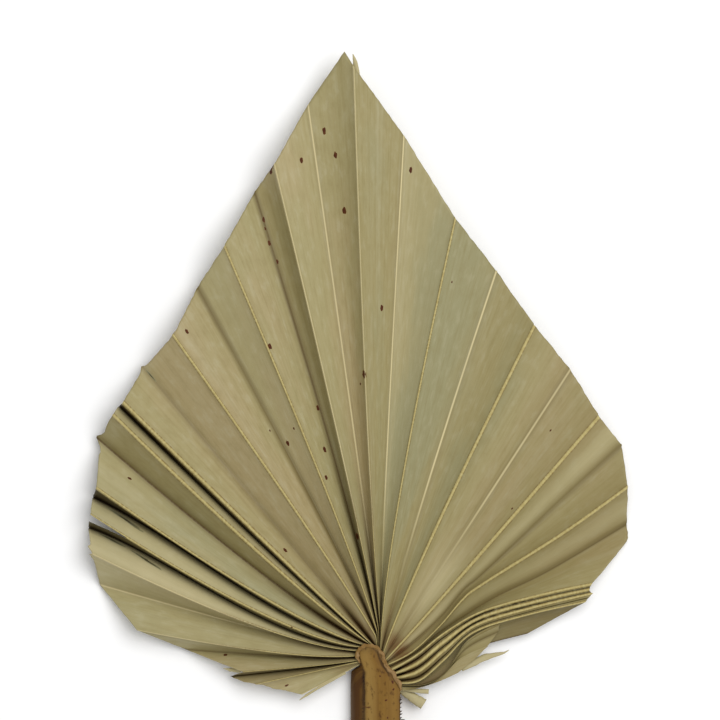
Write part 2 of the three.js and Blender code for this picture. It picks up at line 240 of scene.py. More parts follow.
# Dark specks: angle, radius, length.
SPECKS = [
    (103, 155.4, 2), (99.2, 157.1, 2.2), (96.2, 165.4, 2.6), (95.2, 157.4, 2.4), (86.3, 152.3, 2.2),
    (105.3, 141.1, 2), (105.4, 138.2, 1.2), (105.4, 133.4, 2), (105, 127, 1.6), (94.7, 139.5, 2.6),
    (121.6, 117.8, 2), (110.2, 101.8, 2.3), (89.7, 107.8, 2.2), (78.8, 118.4, 0.9), (93.3, 86.7, 2.6),
    (104.7, 78.4, 2.1), (114.6, 71, 2), (117.2, 77.1, 0.9), (111.7, 74.6, 1), (105.8, 65, 2.1),
    (107.8, 56.3, 1.9), (101.8, 35.5, 2), (94.3, 83.8, 0.9), (135, 42.9, 1.8), (51.5, 87.7, 1),
    (45.9, 60.8, 0.9), (146.4, 96.3, 1.6), (183.8, 49.6, 1.6), (203.5, 32.6, 1.4), (168.5, 28.8, 0.9),
]
SPECK_SLIMNESS = 0.48
SPECK_HALO = 1.15  # length of a speck with its paler rim, against its dark middle
SPECK_WOBBLE = (0.8, 1.15)  # least and most of its reach, drawn for each side
SPECK_RISE = 0.07
SPECK_SINK = 0.02  # its edge lies this deep
SPECK_RINGS = 4
SPECK_SIDES = 16

# Thin cracks of the blade near its left rim: x, y, the way each points, length, slimness.
LEAF_CRACKS = [
    (-81.3, 40, -34.8, 17.9, 0.06), (-85.9, 33.6, -27.4, 11.7, 0.08), (-74.6, 27, -33, 14.5, 0.06),
    (-73.4, 86.2, -49.5, 6.3, 0.12),
]

# Torn strips that hang from the blade's edges: points of the middle with the half width there.
TORN_STRIPS = {
    "tip_sliver": [(-7, 178, 13.2, 1), (-7.5, 183.5, 13.6, 0.9), (-8, 186.6, 13.6, 0.7),
                   (-8.7, 189, 13.4, 0.1)],
    "torn_sliver": [(26, -7.6, 6, 1), (30, -5.7, 5.8, 1.2), (33.4, -4.1, 5.4, 1.05), (37, -3.2, 5, 0.7),
                    (39.8, -2.6, 4.7, 0.35), (41.4, -1.7, 4.4, 0.05)],
    "rim_fray": [(-44.6, -8.3, 6.8, 0.7), (-47.8, -8, 6.2, 0.6), (-50.2, -7.6, 5.8, 0.05)],
    "edge_fray": [(-11, -9, 7.3, 0.3), (-19.2, -13.4, 7.6, 0.4), (-23.4, -16, 7.4, 0.4),
                  (-25.8, -17.7, 7, 0.1)],
    "torn_stub_upper": [(5.8, -14, 7.4, 0.5), (9.5, -14.5, 7.2, 0.6), (15.6, -15, 6.6, 0.8)],
    "torn_stub_lower": [(6.4, -14.4, 6.6, 0.8), (10, -16.6, 6.2, 1.5), (14, -19.1, 5.2, 1.8)],
}
STRIP_ROWS = 24
STRIP_COLUMNS = 6
STRIP_CURL = 0.4  # how far the edges bend down, against the half width
STRIP_RAGGEDNESS = (0.25, 3)  # share of the half width, rows from one swelling to the next
STRIP_GRAIN = 20  # length of the grain from end to end
STRIP_TONE = 0.55
STRIP_PALENESS = 0.4

# Stalk
STALK_LENGTH = 250
STALK_SWAY = -6  # how far it strays to the side over such a length
STRAIGHT_FROM = -20  # the stalk is straight above this y
HEAD_TOP = 0.2
CUT_SLANT = 0.12  # rise of the cut for each mm to the right
FRONT_HEIGHT = 9.6
FRONT_TILT = 0.2  # rise of the front for each mm to the right
FRONT_BULGE = 0.5
FIBRE_RELIEF = 0.1
FIBRE_LENGTH = 40
FIBRE_CROWDING = 0.9  # fibres for each point of the section
# Painted shade on the stalk's left flank, which is turned from the light.
FLANK_SHADE = 0.9
LIT_STREAK = (1.6, 3.5, 0.8)  # distance from the left margin, how far it spreads, strength
SHAFT_STEP = 1.6
HEAD_STEP = 0.4
FRONT_COLUMNS = 22
FLANK_SMOOTHING = 4

# Plan of the stalk, as (y, x): its outer left side, the left margin of its front, and its right margin.
STALK_LEFT = [
    (-250, -10.2), (-12, -9.4), (-8.6, -9.2), (-7.9, -8.5), (-7, -7), (-6.4, -6.6), (-5.5, -6.9), (-4, -7.4),
    (-2, -7.5), (-1.2, -7.1), (-0.6, -6.2), (-0.2, -5.2), (0, -4.6), (0.2, -3.8),
]
STALK_MARGIN = [
    (-250, -5.6), (-14, -5.1), (-8.5, -5.2), (-6.6, -5.6), (-4, -6.6), (-2, -6.8), (-1, -6.3), (-0.4, -5.4),
    (0, -4.4), (0.2, -3.7),
]
STALK_RIGHT = [
    (-250, 7.1), (-14, 6.5), (-12.6, 6.3), (-9.2, 4.4), (-6.5, 2.3), (-4.4, 1.5), (-2.6, 0.8), (-0.9, -0.7),
    (0, -2.2), (0.2, -3),
]

# Flanks of the stalk's section: share inwards or outwards of the front's margin, share of its height.
RIGHT_FLANK = [(0, 1), (0.02, 0.78), (0.11, 0.42), (0.27, 0.11), (0.37, 0)]
LEFT_FLANK = [(0.3, 0), (0.81, 0.11), (1, 0.38), (0.75, 0.69), (0.26, 0.9), (0, 1)]

# Crest of the raised rim over the stalk's head, the hastula, from its left foot to its right foot.
HASTULA_CREST = [
    (-6.4, -5.8), (-7.2, -3.8), (-6.9, -1.8), (-5.5, -0.6), (-3.4, -0.2), (-1.3, -0.8), (0.3, -2.3),
    (1.3, -4.5), (2.1, -6.7), (4.2, -9.2), (6.2, -12.4), (6.6, -14.6),
]
HASTULA_HALF_WIDTH = 0.65
HASTULA_HALF_HEIGHT = 0.5
HASTULA_LUMPS = (0.6, 4)  # share of its size, steps from one lump to the next
HASTULA_WANDER = (0.35, 5)  # how far its crest strays, steps from one bend to the next
HASTULA_TAPER = (0.38, 0.16)  # distance from its middle where it thins, and over which it ends, as shares
HASTULA_RISE = 0.3
HASTULA_STEPS = 90
HEADING_STEP = 0.01  # share of a curve over which its way is measured
HASTULA_SIDES = 16
HASTULA_GRAIN = (20, 120)  # size of its flat plan

# Dark margins of the stalk's front: the y below which each is dark, how far the dark spreads.
LEFT_DARK = (-9, 0.9)
RIGHT_DARK = (-17, 0.5)
DARK_EASE = 2  # length over which the dark sets in
DARK_WAVE = (0.3, 2)  # how far the left one strays, and over which length
LIP_SHADE = (-9, 3, 1.5, 0.7, 0.8)  # y above which it lies, ease, distance from the margin, spread, strength
HEAD_SHADE = (4, 0.5)  # length of the shade below the top of the head, strength
FRONT_FROM = 0.85  # share of the height from which a point belongs to the front

# Teeth along the stalk's margins: spines a long way apart, and small teeth between them.
SPINE_PITCH = 8
SPINE_SIZE = (1.6, 0.5)  # length and root radius
TEETH_FROM = -15
TOOTH_PITCH = 1.1
TOOTH_SIZE = (0.8, 0.3)
TOOTH_SIDES = 6
TOOTH_FLATNESS = 0.7
TOOTH_SCALES = (0.6, 1.1)  # smallest and largest, against the sizes above
TOOTH_STRAY = 0.3  # share of the small teeth's pitch
TOOTH_LEANS = (0.2, 0.7)  # least and most towards the leaf
TOOTH_LIFT = 0.1
TOOTH_RINGS = ((-0.4, 1), (0.35, 0.6), (0.8, 0.22))  # share of the length, share of the root radius

# Marks on the stalk's front: x, y, the way each points, length, slimness. The last is a crack.
STALK_SPECKS = [
    (0, -9.9, 90, 0.8, 0.8), (1.9, -17.6, 30, 1.1, 0.7), (2.4, -23.2, 90, 0.8, 0.8),
    (4.3, -14.1, 60, 1.2, 0.6), (4, -11.8, 110, 1.6, 0.5), (-4.2, -19.9, -8, 3.2, 0.1),
]

# Stage
FLOOR_HALF_SIZE = 3000
FLOOR_GAP = 0.3
KEY_SPOT = Vector((330, 200, 1000))
KEY_SIZE = 900
KEY_POWER = 8.2
FILL_STRENGTH = 0.58

# Colours, as they look under white light; some of them are painted shade and painted light
SAGE = (156, 146, 103)
WARM_TAN = (163, 148, 108)
COOL_GREY = (148, 145, 109)
BLOOM = (187, 182, 153)
PALE_TAN = (192, 182, 141)
OLIVE = (120, 105, 57)
VALLEY_SHADE = (100, 86, 46)
CREAM = (206, 192, 146)
NERVE_YELLOW = (184, 170, 114)
NERVE_OLIVE = (168, 152, 96)
NERVE_EDGE = (112, 88, 44)
CREASE_BROWN = (84, 66, 34)
GAP_SHADE_BLACK = (34, 19, 7)
STAIN_AND_SHADE_BROWN = (98, 58, 18)
SPECK_RIM = (120, 88, 50)
SPECK_BROWN = (72, 34, 14)
STALK_TAN = (127, 95, 40)
STALK_PALE = (152, 124, 68)
STALK_BROWN = (100, 68, 25)
SHADE_AND_PIT_BROWN = (70, 42, 14)
LIP_TAN = (146, 117, 77)
TOOTH_AND_SHADE_BLACK = (28, 16, 12)
FLOOR_WHITE = (252, 252, 252)

# Shine of the leaf and of the painted shade in its gaps, which is dull
LEAF_SHINE = 0.3
GAP_SHINE = 0.03


# Small helpers

def linear(colour):
    """Scene colour of an 8-bit one."""
    return (*Color([value / 255 for value in colour]).from_srgb_to_scene_linear(), 1)


def lerp(low, high, share):
    return low + (high - low) * share


def ramp(pairs, place):
    """Value at a place, by straight lines through pairs of place and value."""
    if place <= pairs[0][0]:
        return pairs[0][1]
    for (start, low), (end, high) in zip(pairs, pairs[1:]):
        if place <= end:
            return lerp(low, high, (place - start) / (end - start))
    return pairs[-1][1]


def spline(points, share):
    """Point on a uniform Catmull-Rom curve through all points."""
    place = share * (len(points) - 1)
    index = min(int(place), len(points) - 2)
    near = [Vector(points[max(0, min(len(points) - 1, index + step))]) for step in (-1, 0, 1, 2)]
    t = place - index
    tangent_in = (near[2] - near[0]) / 2
    tangent_out = (near[3] - near[1]) / 2
    step = near[2] - near[1]
    bend = 3 * step - 2 * tangent_in - tangent_out
    twist = tangent_in + tangent_out - 2 * step
    return near[1] + tangent_in * t + bend * t ** 2 + twist * t ** 3


def heading(points, share):
    """Unit vector along the curve through all points."""
    near = spline(points, max(share - HEADING_STEP, 0))
    return (spline(points, min(share + HEADING_STEP, 1)) - near).normalized()


def in_frame(x, y, z):
    """A point about the hub, in metres of the frame."""
    return Vector(((x + HUB.x) * MM, (y + HUB.y) * MM, z * MM))


def polar(angle, radius):
    return Vector((math.cos(math.radians(angle)), math.sin(math.radians(angle)))) * radius


def fade(distance, reach):
    """1 at no distance, easing to 0 at the reach."""
    share = min(abs(distance) / reach, 1)
    return 1 - share * share * (3 - 2 * share)


def tube_faces(first, rings, sides):
    """Faces between rings of points, which follow one another from the first point on."""
    faces = []
    for here in range(first, first + (rings - 1) * sides, sides):
        there = here + sides
        for side in range(sides):
            nxt = (side + 1) % sides
            faces.append([here + side, there + side, there + nxt, here + nxt])
    return faces


def closed_tube(rings, sides):
    """Faces of a tube from the first point on, with a lid at each end; the lids come last."""
    far_lid = [(rings - 1) * sides + side for side in reversed(range(sides))]
    return tube_faces(0, rings, sides) + [list(range(sides)), far_lid]


def sheet_faces(first, under, columns, rows, is_open=None):
    """Faces of both sides of a grid of cells, and a wall wherever a kept one ends."""
    faces, smooth = [], []

    def at(column, row):
        return first + column * (rows + 1) + row

    def is_kept(column, row):
        inside = 0 <= column < columns and 0 <= row < rows
        return inside and not (is_open and is_open(column, row))

    for column in range(columns):
        for row in range(rows):
            if not is_kept(column, row):
                continue
            ring = [at(column, row), at(column, row + 1), at(column + 1, row + 1), at(column + 1, row)]
            faces += [ring[::-1], [index + under for index in ring]]
            smooth += [True, True]
            beside = ((column - 1, row), (column, row + 1), (column + 1, row), (column, row - 1))
            for side, neighbour in enumerate(beside):
                if is_kept(*neighbour):
                    continue
                start, end = ring[side], ring[(side + 1) % 4]
                faces.append([start, end, end + under, start + under])
                smooth.append(False)
    return faces, smooth


def add_object(name, data):
    """A new object in the scene."""
    holder = bpy.data.objects.new(name, data)
    bpy.context.scene.collection.objects.link(holder)
    return holder


def mesh_object(name, points, faces, smooth=None, masks=None, plan=None):
    """An object from points and faces, with masks for its material and a flat plan for its grain."""
    mesh = bpy.data.meshes.new(name)
    mesh.from_pydata(points, [], faces)
    mesh.polygons.foreach_set("use_smooth", smooth or [True] * len(faces))
    for mask_name, values in (masks or {}).items():
        mesh.attributes.new(mask_name, "FLOAT", "POINT").data.foreach_set("value", values)
    if plan:
        layer = mesh.uv_layers.new(name="Grain")
        corners = [plan[loop.vertex_index] for loop in mesh.loops]
        layer.data.foreach_set("uv", [part for corner in corners for part in corner])
    mesh.update()
    return add_object(name, mesh)


# Materials

def add(tree, kind, sockets=None, **settings):
    """A node with its settings, each socket given a value or another node's output."""
    node = tree.nodes.new(kind)
    for name, value in settings.items():
        setattr(node, name, value)
    for name, value in (sockets or {}).items():
        if isinstance(value, bpy.types.NodeSocket):
            tree.links.new(value, node.inputs[name])
        else:
            node.inputs[name].default_value = value
    return node


def blend(tree, factor, low, high):
    sockets = {0: factor, 6: low, 7: high}
    return add(tree, "ShaderNodeMix", sockets, data_type="RGBA").outputs[2]


def calculate(tree, operation, first, second):
    return add(tree, "ShaderNodeMath", {0: first, 1: second}, operation=operation, use_clamp=True).outputs[0]


def between(tree, value, start, end, low=0.0, high=1.0):
    """The value eased from one range into another."""
    sockets = {0: value, 1: start, 2: end, 3: low, 4: high}
    return add(tree, "ShaderNodeMapRange", sockets, interpolation_type="SMOOTHSTEP").outputs[0]


def mask(tree, name):
    return add(tree, "ShaderNodeAttribute", attribute_name=name).outputs["Fac"]


def grain(tree, across, along, detail):
    """Noise on the flat plan of a piece, with its own scale across and along the grain."""
    plan = add(tree, "ShaderNodeUVMap", uv_map="Grain").outputs[0]
    stretched = add(tree, "ShaderNodeMapping", {"Vector": plan, "Scale": (across, along, 1)}).outputs[0]
    sockets = {"Vector": stretched, "Scale": 1.0, "Detail": detail, "Roughness": 0.6}
    return add(tree, "ShaderNodeTexNoise", sockets, noise_dimensions="2D").outputs["Fac"]


def paint(tree, colour, mask_name, speckle, target, weakest):
    """The colour with a target colour laid over it where a mask says, thinned here and there by a speckle."""
    thinned = between(tree, speckle, 0.3, 0.65, weakest, 1.0)
    return blend(tree, calculate(tree, "MULTIPLY", mask(tree, mask_name), thinned), colour, linear(target))


def tint(tree, colour, speckle, span, target, strength=1.0):
    """The colour with a target colour laid over it where a speckle rises through a span."""
    return blend(tree, between(tree, speckle, *span, 0, strength), colour, linear(target))


def roughen(tree, shader, coarse, fine, depth, roughness):
    """Bump and roughness from a coarse and a fine grain."""
    height = blend(tree, 0.4, coarse, fine)
    bump = add(tree, "ShaderNodeBump", {"Strength": 0.5, "Distance": depth * MM, "Height": height})
    tree.links.new(bump.outputs[0], shader.inputs["Normal"])
    tree.links.new(between(tree, fine, 0.3, 0.7, *roughness), shader.inputs["Roughness"])


def new_material(name, roughness, specular):
    material = bpy.data.materials.new(name)
    material.use_nodes = True
    shader = material.node_tree.nodes["Principled BSDF"]
    shader.inputs["Roughness"].default_value = roughness
    shader.inputs["Specular IOR Level"].default_value = specular
    return material, material.node_tree, shader


def blade_material():
    """Dry leaf: sage, cooler and warmer by turns, with lines along its creases and brown at the hub; painted
    shade in its valleys, gaps and shaded facets, painted light on its lit facets and along some pleats.
    """
    material, tree, shader = new_material("dry_leaf", roughness=0.6, specular=LEAF_SHINE)
    patches = grain(tree, 22, 9, 4)
    bands = grain(tree, 130, 4, 3)
    mottle = grain(tree, 320, 160, 4)
    fibres = grain(tree, 900, 24, 3)
    dots = grain(tree, 700, 1200, 2)
    tone = calculate(tree, "ADD", mask(tree, "tone"), between(tree, patches, 0.3, 0.7, -0.25, 0.25))
    colour = tint(tree, linear(COOL_GREY), tone, (0.0, 0.5), SAGE)
    colour = tint(tree, colour, tone, (0.5, 1.0), WARM_TAN)
    colour = tint(tree, colour, bands, (0.55, 0.8), BLOOM, 0.18)
    colour = tint(tree, colour, fibres, (0.4, 0.75), OLIVE, 0.18)
    colour = tint(tree, colour, mottle, (0.5, 0.75), BLOOM, 0.22)
    colour = tint(tree, colour, mottle, (0.5, 0.25), OLIVE, 0.2)
    # olive by angle, with painted shade on facets turned from the light
    colour = paint(tree, colour, "olive_and_shade", patches, OLIVE, 0.8)
    colour = paint(tree, colour, "valley", bands, VALLEY_SHADE, 0.45)
    # painted light on lit facets and painted highlights along pleats
    colour = paint(tree, colour, "pale_and_lit", patches, PALE_TAN, 0.6)
    foot = between(tree, mask(tree, "nerve"), 0.04, 0.2)
    edge = calculate(tree, "MULTIPLY", foot, between(tree, dots, 0.35, 0.6, 0, 0.7))
    colour = blend(tree, edge, colour, linear(NERVE_EDGE))
    beads = tint(tree, linear(NERVE_YELLOW), dots, (0.3, 0.7), NERVE_OLIVE)
    colour = blend(tree, between(tree, mask(tree, "nerve"), 0.42, 0.6), colour, beads)
    colour = paint(tree, colour, "cream", fibres, CREAM, 0.75)
    colour = paint(tree, colour, "crack", dots, CREASE_BROWN, 0.7)
    # brown near the hub: blots and the rib bundle, and painted shade along deep valleys
    colour = paint(tree, colour, "stain_and_shade", mottle, STAIN_AND_SHADE_BROWN, 0.45)
    # painted black shade in the gaps and deep valleys
    colour = paint(tree, colour, "gap", bands, GAP_SHADE_BLACK, 0.9)
    tree.links.new(colour, shader.inputs["Base Color"])
    # the painted shade in the gaps is dull
    shine = between(tree, mask(tree, "gap"), 0.0, 0.6, LEAF_SHINE, GAP_SHINE)
    tree.links.new(shine, shader.inputs["Specular IOR Level"])
    roughen(tree, shader, bands, fibres, 0.12, (0.5, 0.68))
    return material


def stalk_material():
    """Dry stalk: tan wood with brown fibres along it, painted shade on its left flank and under its lip, and
    blackened margins.
    """
    material, tree, shader = new_material("dry_stalk", roughness=0.6, specular=0.15)
    fibres = grain(tree, 260, 8, 4)
    threads = grain(tree, 900, 30, 3)
    patches = grain(tree, 120, 60, 3)
    pits = grain(tree, 700, 420, 3)
    colour = tint(tree, linear(STALK_TAN), fibres, (0.35, 0.7), STALK_BROWN, 0.8)
    colour = tint(tree, colour, patches, (0.5, 0.7), STALK_BROWN, 0.8)
    colour = paint(tree, colour, "lit", fibres, STALK_PALE, 0.4)
    # painted shade on the left flank
    colour = paint(tree, colour, "flank", fibres, SHADE_AND_PIT_BROWN, 0.5)
    colour = paint(tree, colour, "lip", patches, LIP_TAN, 0.2)
    colour = tint(tree, colour, pits, (0.55, 0.75), SHADE_AND_PIT_BROWN, 0.7)
    # blackened margins and teeth, and painted shade under the lip and below the top of the head
    colour = paint(tree, colour, "dark", threads, TOOTH_AND_SHADE_BLACK, 0.5)
    tree.links.new(colour, shader.inputs["Base Color"])
    roughen(tree, shader, patches, threads, 0.35, (0.5, 0.7))
    return material


def speck_material():
    """Dry brown scab, darkest in its middle."""
    material, tree, shader = new_material("brown_speck", roughness=0.7, specular=0.2)
    spots = grain(tree, 1500, 1500, 2)
    colour = tint(tree, linear(SPECK_RIM), mask(tree, "middle"), (0.05, 0.35), SPECK_BROWN)
    colour = tint(tree, colour, spots, (0.45, 0.7), STAIN_AND_SHADE_BROWN, 0.5)
    tree.links.new(colour, shader.inputs["Base Color"])
    return material


# Blade

@dataclass
class Crease:
    """One fold line of the blade, from the hub to the rim, with its path as pairs of length and point."""
    angle: float
    level: float
    length: float
    path: list

    def plan(self, share):
        """Where the crease is at a share of its length; the shares stand closer towards the hub."""
        slow = 2 * BEND_REACH * share
        return ramp(self.path, self.length * (slow + (1 - 2 * BEND_REACH) * share * share))

    def height(self, share):
        middle = lerp(HUB_HEIGHT + HUB_TILT * self.plan(0).x, ramp(RIM_HEIGHT, self.angle), share)
        return middle + self.level * lerp(ramp(HUB_FOLD, self.angle), ramp(RIM_FOLD, self.angle), share)

    def is_ridge(self):
        return self.level == 1

    def line_width(self, share):
        """Half width of the line along the crease, at a share of its length."""
        if not self.is_ridge():
            return VEIN_HALF_WIDTH
        if self.angle < STACK_ENDS:
            return STACK_NERVE_HALF_WIDTH
        widest = WIDE_NERVES.get(self.angle, NERVE_HALF_WIDTH)
        return widest * lerp(NERVE_AT_HUB, 1, min(share / NERVE_WIDE_FROM, 1))

    def line_rise(self):
        if self.is_ridge():
            return NERVE_RISE
        return VEIN_RISE if self.angle in CREAM_LINES or self.angle in BROWN_LINES else 0

    def widest_share(self):
        """Most of a facet's width that the line along the crease may take."""
        if self.angle > STACK_ENDS:
            return NERVE_WIDEST_SHARE if self.is_ridge() else VEIN_WIDEST_SHARE
        return STACK_LINE_SHARE if self.is_ridge() else 1 - STACK_LINE_SHARE

    def line_masks(self, strength, from_hub):
        """Masks of the line along the crease, where it is that strong."""
        cream = CREAM_LINES.get(self.angle, 0)
        sets_in = 1 - fade(max(from_hub - CREAM_FROM[0], 0), CREAM_FROM[1] - CREAM_FROM[0])
        if self.length < CREAM_FROM[1]:
            sets_in = 1
        return {
            "nerve": strength * (1 - sets_in if cream else 1) if self.is_ridge() else 0,
            "cream": strength * cream * sets_in,
            "crack": strength * BROWN_LINES.get(self.angle, 0),
        }


def points_passed(angle):
    """Points that a crease passes by given paths, if it has any."""
    for low_angle, low_points, high_angle, high_points in PATHS:
        if low_angle <= angle <= high_angle:
            share = ((angle - low_angle) / (high_angle - low_angle)) ** PATH_LEAN
            return [Vector(low).lerp(Vector(high), share) for low, high in zip(low_points, high_points)]
    return []


def arc_point(start, knee, end, share):
    return start.lerp(knee, share).lerp(knee.lerp(end, share), share)


def stem_top(angle, start):
    """Where a crease leaves the stem above the head; all others leave at their start."""
    if not STEM_TOPS[0][0] <= angle <= STEM_TOPS[-1][0]:
        return start
    return ramp([(at, Vector(spot)) for at, spot in STEM_TOPS], angle)


def make_crease(row, start):
    angle, radius, level = row
    end = polar(angle, radius)
    passed = points_passed(angle)
    top = stem_top(angle, start)
    knee = top + Matrix.Rotation(math.radians(ramp(BEND, angle)), 2) @ ((end - top) * BEND_REACH)
    path, length, last = [(0, start)], 0, start
    for step in range(PATH_STEPS + 1):
        share = step / PATH_STEPS
        point = spline([start, *passed, end], share) if passed else arc_point(top, knee, end, share)
        ahead = point - last
        length += ahead.length
        path.append((length, point))
        last = point
    beyond = last + ahead.normalized() * RIM_SPARE
    return Crease(angle, level, length, path + [(length + RIM_SPARE, beyond)])


def hug(crease, ridge):
    """Draw a valley close under the ridge before it, most at two thirds of its way."""
    drawn = []
    for length, point in crease.path:
        share = min(length / crease.length, 1)
        pull = HUGS[crease.angle] * share * share * (1 - share) * HUG_PEAK
        drawn.append((length, point.lerp(ramp(ridge.path, length), pull)))
    crease.path = drawn


@dataclass
class Facet:
    """One row across a facet: the places of its points, the shares of its two edge lines and its width."""
    places: list
    edges: list
    width: float


def facet_row(first, second, share, middle_count):
    """A row across a facet, its points crowded along the two edges where nerve and vein run."""
    width = (second.plan(share) - first.plan(share)).length
    edges = [min(crease.line_width(share) / width, crease.widest_share()) for crease in (first, second)]
    near = [edges[0] * step for step in EDGE_STEPS]
    middle = [lerp(edges[0], 1 - edges[1], step / middle_count) for step in range(middle_count + 1)]
    far = [1 - edges[1] * step for step in reversed(EDGE_STEPS)]
    places = near + middle + far
    if first.angle in SPLITS:
        split_from, gap = SPLITS[first.angle]
        opening = gap * max(share - split_from, 0) / (1 - split_from) / width
        places = places[:1] + [opening + (1 - opening) * place for place in places[1:]]
    return Facet(places, edges, width)


def rim_offset(angle):
    """How far the cut edge stands out or falls short at an angle."""
    offset = draw.uniform(-RIM_JITTER, RIM_JITTER) + ramp(RIM_CORNERS, angle)
    for at, half, length in RIM_TEARS:
        offset += length * fade(angle - at, half * 2)
    return offset


def facet_height(first, second, share, place):
    """Height on a facet, from a ridge that may be wide or sharp to a valley that may be open or narrow."""
    falls = first.level > second.level
    ridge, valley = (first, second) if falls else (second, first)
    from_ridge = place if falls else 1 - place
    lie = FACET_LIE.get(first.angle, LEFT_TURNED_LIE if falls else RIGHT_TURNED_LIE)
    if lie < LOWEST_LIE:
        lie = lerp(lie, HUB_LIE, fade(share, OPEN_FROM))
    drop = 1 - (1 - from_ridge) ** lie
    return lerp(ridge.height(share), valley.height(share), drop)


def line_strength(distance, half):
    """1 over the crown of a nerve or vein, easing to 0 at its foot."""
    return fade(max(distance / half - LINE_CROWN, 0), 1 - LINE_CROWN)


def painted_highlight(angle, run):
    bands = sum(strength * fade(angle - middle, half * 2) for middle, half, strength in HIGHLIGHT_BANDS)
    middle, half, distance, span, strength = HUB_HIGHLIGHT
    return bands + strength * fade(angle - middle, half) * fade(run - distance, span)


def hub_stain_and_shade(angle, run, near_valley, bare):
    """Brown near the hub: painted shade as a halo along the deep valleys, brown blots, and the bundle of ribs
    above the head.
    """
    halo = near_valley * fade(run, HUB_REACH) * ramp(DEEP_SHADE, angle)
    blot_distance, blot_spread = BLOT_SPAN
    blot = ramp(BLOTS, angle) * fade(run - blot_distance, blot_spread)
    trunk_angle, half, length, strength = TRUNK
    trunk = strength * fade(angle - trunk_angle, half) * fade(run, length)
    return max(bare * halo, bare * blot, trunk)


def facet_point(first, second, facet, reach, share, place, across):
    """One point of the upper side, with the masks of its material and its place on the flat plan."""
    spot = first.plan(reach).lerp(second.plan(reach), place)
    wave = noise.noise(Vector((spot.x / WAVE_LENGTH, spot.y / WAVE_LENGTH, 0)))
    height = facet_height(first, second, share, place) + WAVE_HEIGHT * share * wave
    masks = {"nerve": 0, "cream": 0, "crack": 0, "valley": 0, "gap": 0}
    angle = lerp(first.angle, second.angle, place)
    run = (spot - first.plan(0)).length
    near_valley = 0
    for crease, distance, half in ((first, place, facet.edges[0]), (second, 1 - place, facet.edges[1])):
        strength = line_strength(distance, half)
        height += strength * crease.line_rise()
        for name, value in crease.line_masks(strength, spot.length).items():
            masks[name] = max(masks[name], value)
        if crease.level < 0:
            clear = 1 - CREAM_CLEARS * CREAM_LINES.get(crease.angle, 0)
            if STACK_BEGINS < crease.angle < STACK_ENDS:
                clear *= fade(run, STACK_SHADE_REACH)
            near_valley = fade(distance, 1)
            masks["valley"] = clear * fade(distance, min(VALLEY_REACH / facet.width, VALLEY_SHARE))
            # painted black shade in a deep valley near the hub
            masks["gap"] = ramp(DEEP_SHADE, angle) * fade(run, ramp(DEEP_SHADE_REACH, angle)) * fade(distance, DEEP_SHADE_SHARE)
        # painted black shade in a narrow gap
        if crease.angle in GAP_VALLEYS:
            narrow = fade(distance, min(GAP_REACH / facet.width, 1 - STACK_LINE_SHARE))
            masks["gap"] = max(masks["gap"], GAP_VALLEYS[crease.angle] * narrow)
    bare = 1 - max(masks["nerve"], masks["cream"])
    # painted black shade on facets that lie in shadow
    black = BLACK_SHADED_FACETS.get(first.angle, 0) * lerp(BLACK_SHADE_AT_HUB, 1, min(spot.length / BLACK_SHADE_REACH, 1))
    masks["gap"] = bare * max(masks["gap"], black)
    # olive by angle, with painted shade on facets turned from the light
    masks["olive_and_shade"] = bare * (ramp(OLIVE_BY_ANGLE, angle) + OLIVE_SHADED_FACETS.get(first.angle, 0))
    masks["tone"] = 0.5 + 0.5 * ramp(TONE, angle)
    # painted light on lit facets and painted highlights along pleats
    masks["pale_and_lit"] = bare * (PALE_LIT_FACETS.get(first.angle, 0) + painted_highlight(angle, run))
    # brown near the hub, partly painted shade along the deep valleys
    masks["stain_and_shade"] = hub_stain_and_shade(angle, run, near_valley, bare)
    return {"spot": (spot.x, spot.y, height), "plan": (across * MM, spot.length * MM), "masks": masks}


class Sheet:
    """Points, masks and open cells of one pleated sheet's upper side."""

    def __init__(self, rows, start_points):
        starts = [(angle, Vector(spot)) for angle, spot in start_points]
        self.creases = [make_crease(row, ramp(starts, row[0])) for row in rows]
        for ridge, crease in zip(self.creases, self.creases[1:]):
            if crease.angle in HUGS:
                hug(crease, ridge)
        self.shares = [1 - (1 - row / ROW_COUNT) ** ROW_CROWDING for row in range(ROW_COUNT + 1)]
        self.columns = []
        self.split_from = []
        across = 0
        for first, second in zip(self.creases, self.creases[1:]):
            across = self.add_facet(first, second, across)

    def add_facet(self, first, second, across):
        """Columns of one facet; only the last facet of a sheet keeps its last column."""
        rim_width = (second.plan(1) - first.plan(1)).length
        length = first.length
        middle_count = max(2, round(rim_width / FACET_STEP))
        total = 2 * len(EDGE_STEPS) + middle_count
        kept = total + 1 if second is self.creases[-1] else total
        rim_places = facet_row(first, second, 1, middle_count).places[:kept]
        offsets = [rim_offset(lerp(first.angle, second.angle, place)) for place in rim_places]
        columns = [[] for _ in range(kept)]
        for share in self.shares:
            facet = facet_row(first, second, share, middle_count)
            for column, offset, place in zip(columns, offsets, facet.places):
                reach = share + offset / length / RIM_PACE * share ** RIM_EASE
                flat = across + place * rim_width
                column.append(facet_point(first, second, facet, reach, share, place, flat))
        self.columns += columns
        opens_from = SPLITS[first.angle][0] if first.angle in SPLITS else 1
        self.split_from += [opens_from] + [1] * (kept - 1)
        return across + rim_width

    def is_open(self, column, row):
        """Whether a cell lies in a split."""
        return self.shares[row] >= self.split_from[column]


